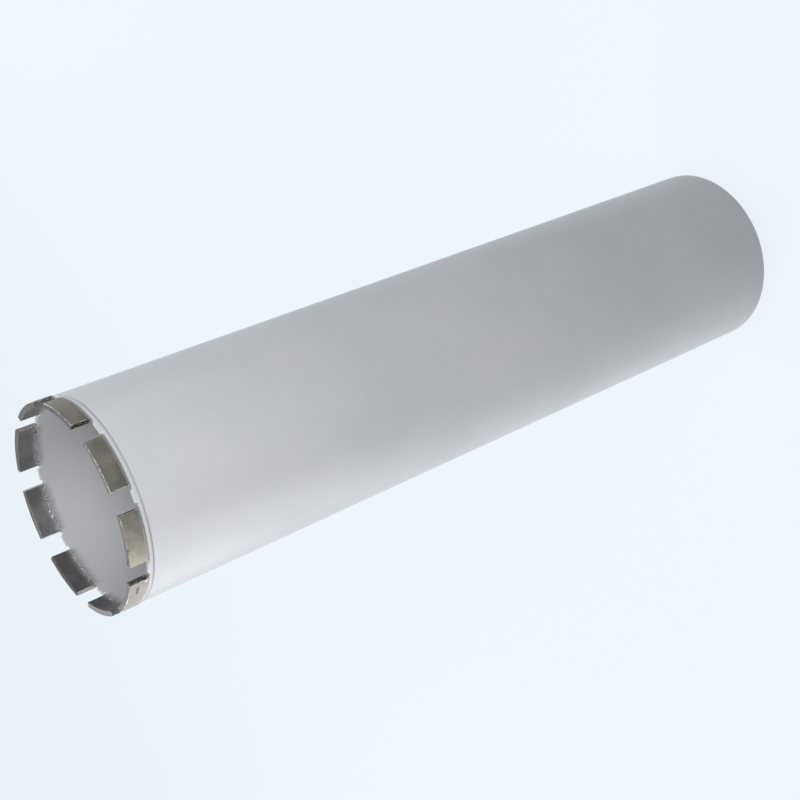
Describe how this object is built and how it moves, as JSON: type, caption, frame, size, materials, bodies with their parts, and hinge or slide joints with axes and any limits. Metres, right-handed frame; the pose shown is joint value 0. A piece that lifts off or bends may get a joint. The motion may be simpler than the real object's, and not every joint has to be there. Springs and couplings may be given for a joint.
{
  "type": "diamond core bit",
  "caption": "Wet diamond core bit: a long thin painted steel barrel with cutting segments round its open mouth and a threaded hexagon drive hub at its closed end.",
  "frame": {"origin": "centre of the drive hub's end face, on which the bit stands", "axes": "+Z along the bit's axis, from the drive hub to the cutting crown; +X through the middle of segment_1"},
  "size_m": [0.1117, 0.112, 0.5002],
  "materials": {
    "silver_paint": "matt silver-grey spray paint on steel",
    "machined_steel": "turned and milled bare steel",
    "sintered_bond": "ground sintered metal bond with diamond grit",
    "braze_metal": "rough braze bead with paint overspray"
  },
  "bodies": {
    "root": {"barrel": "silver_paint", "base_plate": "silver_paint", "base_weld": "silver_paint", "hub_weld": "silver_paint", "spigot_weld": "silver_paint", "drive_hub": "machined_steel", "segment_1": "sintered_bond", "segment_2": "sintered_bond", "segment_3": "sintered_bond", "segment_4": "sintered_bond", "segment_5": "sintered_bond", "segment_6": "sintered_bond", "segment_7": "sintered_bond", "segment_8": "sintered_bond", "segment_9": "sintered_bond", "braze_seam_1": "braze_metal", "braze_seam_2": "braze_metal", "braze_seam_3": "braze_metal", "braze_seam_4": "braze_metal", "braze_seam_5": "braze_metal", "braze_seam_6": "braze_metal", "braze_seam_7": "braze_metal", "braze_seam_8": "braze_metal", "braze_seam_9": "braze_metal"}
  },
  "joints": []
}
